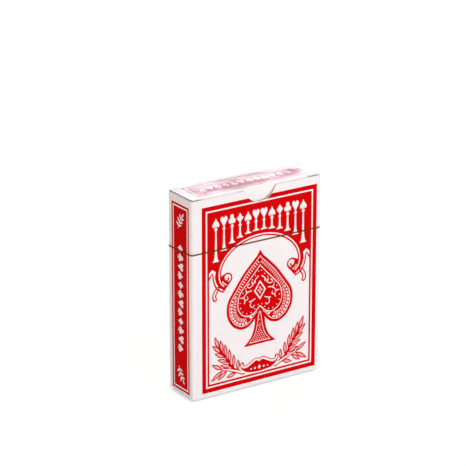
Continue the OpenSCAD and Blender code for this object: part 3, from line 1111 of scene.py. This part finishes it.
@dataclass
class PrintSheet:
    """Layer of ink on one face of a piece."""

    name: str
    body: str
    face: Face
    foot: Vector
    art: FramedArt
    thickness: float = 0.03
    flat_angle: float = 0.5

    def build(self, material: Material) -> Piece:
        """Lays the ink on its face and gives it its thickness.

        Args:
            material: Finish of the ink.

        Returns:
            The finished piece.
        """
        points, triangles = self.art.draw().flat()
        across, up, out = self.face.value
        mesh = bpy.data.meshes.new(self.name)
        mesh.from_pydata([(self.foot + across * u + up * v) * MM for u, v in points], [], triangles)
        piece = bpy.data.objects.new(self.name, mesh)
        bpy.context.scene.collection.objects.link(piece)
        bpy.ops.object.select_all(action="DESELECT")
        piece.select_set(True)
        bpy.context.view_layer.objects.active = piece
        bpy.ops.object.mode_set(mode="EDIT")
        bpy.ops.mesh.select_all(action="SELECT")
        bpy.ops.mesh.dissolve_limited(angle_limit=math.radians(self.flat_angle))
        bpy.ops.mesh.normals_make_consistent(inside=False)
        bpy.ops.object.mode_set(mode="OBJECT")
        if mesh.polygons[0].normal.dot(out) < 0:
            mesh.flip_normals()
        bpy.ops.object.modifier_add(type="SOLIDIFY")
        layer = piece.modifiers[-1]
        layer.thickness = self.thickness * MM
        layer.offset = 1.0
        bpy.ops.object.modifier_apply(modifier=layer.name)
        mesh.materials.append(material)
        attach(piece, self.body)
        LOG.info("%s: %d faces on %s", self.name, len(mesh.polygons), self.body)
        return piece


@dataclass
class Carton:
    """Folded carton: plain board inside and out, with red prints on its outer faces."""

    nodes: list[str]
    front_y: float
    back_y: float
    left_x: float
    right_x: float
    print_x: float = 1.64
    print_z: float = 2.56
    side_y: float = -0.245
    side_z: float = 2.53

    def dress(self, board: Material, front: Material) -> None:
        """Gives every panel its board, which shows its core in the notch of the front and also paints a thin
        shade line along the notch's rim.
        """
        wear(self.nodes, board)
        wear(["front_panel"], front)

    def print_faces(self, ink: Material) -> list[Piece]:
        """Prints the front, the back and both sides.

        Args:
            ink: Finish of the ink.

        Returns:
            The prints.
        """
        front = FrontArt(half_w=29.65, height=84.72, band=2.0, line=0.72)
        back = LatticeArt(
            half_w=29.6, height=84.72, band=1.9, line=0.85, cell_u=2.35, cell_v=3.1, medallion=11.0
        )
        side = StripArt(
            half_w=6.72, height=85.05, band=0.95, line=0.7, upright=True, first=19.6, pitch=4.15, count=12
        )
        sheets = [
            ("front_print", Face.FRONT, (self.print_x, self.front_y, self.print_z), front),
            ("back_print", Face.BACK, (0, self.back_y, self.print_z), back),
            ("left_print", Face.LEFT, (self.left_x, self.side_y, self.side_z), side),
            ("right_print", Face.RIGHT, (self.right_x, self.side_y, self.side_z), side),
        ]
        return [
            PrintSheet(name, "carton", face, Vector(foot), art).build(ink) for name, face, foot, art in sheets
        ]


@dataclass
class Closure:
    """Lid, tuck tongue and dust flaps, with a print on the lid."""

    lid: str
    tongue: str
    flaps: list[str]
    lid_top: float
    print_x: float = 0.2
    print_y: float = -6.8

    def dress(self) -> None:
        """Gives the lid, the tongue and the flaps their board, which shows its core along the cut edges, dark
        enough at the lid's ends to paint the shade of the gap there too. The tongue's board is painted paler,
        as painted light.
        """
        wear([self.lid], LID_BOARD.build())
        wear([self.tongue], TONGUE_BOARD_PAINTED_LIGHT.build())
        wear(self.flaps, FLAP_BOARD.build())

    def print_lid(self, ink: Material) -> Piece:
        """Prints the lid.

        Args:
            ink: Finish of the ink.

        Returns:
            The print.
        """
        art = StripArt(
            half_w=28.6, height=13.6, band=0.95, line=0.7, upright=False, first=-22.0, pitch=4.0, count=12
        )
        foot = Vector((self.print_x, self.print_y, self.lid_top))
        return PrintSheet("lid_print", "lid", Face.TOP, foot, art).build(ink)


@dataclass
class Deck:
    """The cards, with a print on the back of the front card."""

    nodes: list[str]
    front_y: float
    middle_x: float
    foot_z: float
    card_h: float = 88.0
    border: float = 3.2
    card_w: float = 63.0

    def dress(self, stock: Material) -> None:
        """Gives the cards their stock."""
        wear(self.nodes, stock)

    def print_card(self, ink: Material) -> Piece:
        """Prints the back of the front card.

        Args:
            ink: Finish of the ink.

        Returns:
            The print.
        """
        art = LatticeArt(
            half_w=self.card_w / 2 - self.border, height=self.card_h - 2 * self.border, band=0.8, line=0.6,
            cell_u=2.35, cell_v=3.1, medallion=9.0,
        )
        foot = Vector((self.middle_x, self.front_y, self.foot_z + self.border))
        return PrintSheet("card_print", "deck", Face.FRONT, foot, art).build(ink)


@dataclass
class Overwrap:
    """Clear film and the tear tape round it."""

    film_nodes: list[str]
    tape_node: str

    def dress(self, film: Material, tape: Material) -> None:
        """Gives the film and the tape their finishes."""
        wear(self.film_nodes, film)
        wear([self.tape_node], tape)


def wear(nodes: list[str], material: Material) -> None:
    """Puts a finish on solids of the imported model.

    Args:
        nodes: Names of the solids.
        material: Their finish.
    """
    for node in nodes:
        mesh = frame["nodes"][node].data
        mesh.materials.clear()
        mesh.materials.append(material)
        LOG.info("%s: %s", node, material.name)


@dataclass(frozen=True)
class SoftBox:
    """Soft box that faces the deck, in metres and watts."""

    name: str
    place: Axes
    size: Span
    power: float
    colour: Colour
    aim_z: float = 0.06

    def build(self) -> None:
        """Adds the lamp."""
        place = Vector(self.place)
        turn = (place - Vector((0, 0, self.aim_z))).to_track_quat("Z", "Y").to_euler()
        bpy.ops.object.light_add(type="AREA", location=place, rotation=turn)
        lamp = bpy.context.object
        lamp.name = self.name
        lamp.data.shape = "RECTANGLE"
        lamp.data.size, lamp.data.size_y = self.size
        lamp.data.energy = self.power
        lamp.data.color = self.colour


LAMPS = (
    SoftBox("front_box", place=(0.56, -1.98, 0.4), size=(1.2, 1.0), power=18.6, colour=(0.9, 0.89, 0.985)),
    SoftBox("rear_box", place=(0.731, 1.096, 0.565), size=(0.6, 0.4), power=4.1, colour=(0.985, 0.965, 1.0)),
)


@dataclass
class Studio:
    """White floor, soft light and the camera of the photograph."""

    azimuth: float = -33.698
    elevation: float = 19.754
    roll: float = 0.065
    distance: float = 1082.9
    shift: Span = (5.089, -20.745)
    middle_z: float = 46.075
    focal: float = 2500.0
    picture: int = 466
    sensor: float = 36.0
    clip_start: float = 0.01
    floor_size: float = 8.0
    floor_z: float = -0.0002
    floor_lights: Colour = (0.8, 0.79, 0.78)
    floor_looks: Colour = (0.42, 0.42, 0.42)
    floor_glow: float = 0.75
    room: Colour = (1.0, 0.92, 0.855)
    walls: float = 1.8
    ceiling: float = 0.14

    def eye(self) -> tuple[Vector, Vector, Vector]:
        """Directions of the camera.

        Returns:
            Right, up and back.
        """
        a, e, r = (math.radians(x) for x in (self.azimuth, self.elevation, self.roll))
        back = Vector((math.sin(a) * math.cos(e), -math.cos(a) * math.cos(e), math.sin(e)))
        flat = Vector((math.cos(a), math.sin(a), 0))
        tall = back.cross(flat)
        return flat * math.cos(r) + tall * math.sin(r), tall * math.cos(r) - flat * math.sin(r), back

    def add_camera(self) -> None:
        """Sets up the camera."""
        right, up, back = self.eye()
        middle = Vector((0, 0, self.middle_z))
        place = middle + back * self.distance - right * self.shift[0] - up * self.shift[1]
        turn = Matrix((right, up, back)).transposed().to_euler()
        bpy.ops.object.camera_add(location=place * MM, rotation=turn)
        camera = bpy.context.object
        camera.name = "camera"
        camera.data.sensor_width = self.sensor
        camera.data.lens = self.sensor * self.focal / self.picture
        camera.data.clip_start = self.clip_start
        bpy.context.scene.camera = camera

    @staticmethod
    def seen(wiring: Wiring) -> Socket:
        """Tells rays that look from rays that light.

        Args:
            wiring: Node tree that asks.

        Returns:
            1 for what the camera, a reflection or a clear surface shows, and 0 for light.
        """
        path = wiring.add("ShaderNodeLightPath").outputs
        direct = wiring.calculate("MAXIMUM", path["Is Camera Ray"], path["Is Glossy Ray"])
        return wiring.calculate("MAXIMUM", direct, path["Is Transmission Ray"])

    def add_floor(self) -> None:
        """Lays the pale floor, which looks white and keeps the shadow."""
        bpy.ops.object.select_all(action="DESELECT")
        bpy.ops.mesh.primitive_plane_add(size=self.floor_size, location=(0, 0, self.floor_z))
        floor = bpy.context.object
        floor.name = "floor"
        bpy.ops.object.transform_apply(location=True)
        material, wiring = new_material("pale_floor")
        plain = wiring.add("ShaderNodeBsdfDiffuse", Color=(*self.floor_lights, 1))
        shaded = wiring.add("ShaderNodeBsdfDiffuse", Color=(*self.floor_looks, 1))
        glow = wiring.add("ShaderNodeEmission", Color=(1, 1, 1, 1), Strength=self.floor_glow)
        lit = wiring.add("ShaderNodeAddShader")
        wiring.join(shaded.outputs["BSDF"], lit.inputs[0])
        wiring.join(glow.outputs["Emission"], lit.inputs[1])
        wiring.show(wiring.blend(self.seen(wiring), plain.outputs["BSDF"], lit.outputs["Shader"]))
        floor.data.materials.append(material)

    def add_world(self) -> None:
        """Sets the soft light of the room, brighter from its walls than from above. It looks white."""
        world = bpy.data.worlds.new("studio")
        world.use_nodes = True
        bpy.context.scene.world = world
        wiring = Wiring(world.node_tree)
        where = wiring.add("ShaderNodeTexCoord").outputs["Generated"]
        height = wiring.add("ShaderNodeSeparateXYZ", Vector=where).outputs["Z"]
        strength = wiring.spread(height, 0.0, 1.0, self.walls, self.ceiling)
        light = wiring.add("ShaderNodeBackground", Color=(*self.room, 1), Strength=strength)
        white = wiring.add("ShaderNodeBackground", Color=(1, 1, 1, 1), Strength=1.0)
        sky = wiring.blend(self.seen(wiring), light.outputs["Background"], white.outputs["Background"])
        wiring.show(sky, "ShaderNodeOutputWorld")

    def build(self) -> None:
        """Builds the whole studio."""
        bpy.context.scene.view_settings.view_transform = "Standard"
        self.add_camera()
        self.add_floor()
        self.add_world()
        for lamp in LAMPS:
            lamp.build()


def millimetres(node: str) -> tuple[Vector, Vector]:
    """Lowest and highest corner of a solid, in millimetres."""
    low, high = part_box(node)
    return low / MM, high / MM


def main() -> None:
    """Builds the studio, dresses every solid and lays the prints."""
    logging.basicConfig(level=logging.INFO, format="%(name)s %(message)s")
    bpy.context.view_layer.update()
    Studio().build()
    board, stock, ink = BOARD.build(), CARD.build(), INK.build()
    film, tape = FILM.build(), TAPE.build()
    bodies = frame["record"]["behaviour"]["bodies"]

    carton = Carton(
        bodies["carton"],
        millimetres("front_panel")[0].y,
        millimetres("back_panel")[1].y,
        millimetres("left_side_panel")[0].x,
        millimetres("right_side_panel")[1].x,
    )
    carton.dress(board, FRONT_BOARD.build())
    carton.print_faces(ink)
    flaps = bodies["left_flap"] + bodies["right_flap"]
    closure = Closure(bodies["lid"][0], bodies["tongue"][0], flaps, millimetres("lid_panel")[1].z)
    closure.dress()
    closure.print_lid(ink)
    low, high = millimetres("spade_cards")
    deck = Deck(bodies["deck"], low.y, (low.x + high.x) / 2, low.z, high.z - low.z)
    deck.dress(stock)
    deck.print_card(ink)
    Overwrap(bodies["cap"] + bodies["sleeve"], bodies["tape"][0]).dress(film, tape)


if __name__ == "__main__":
    main()
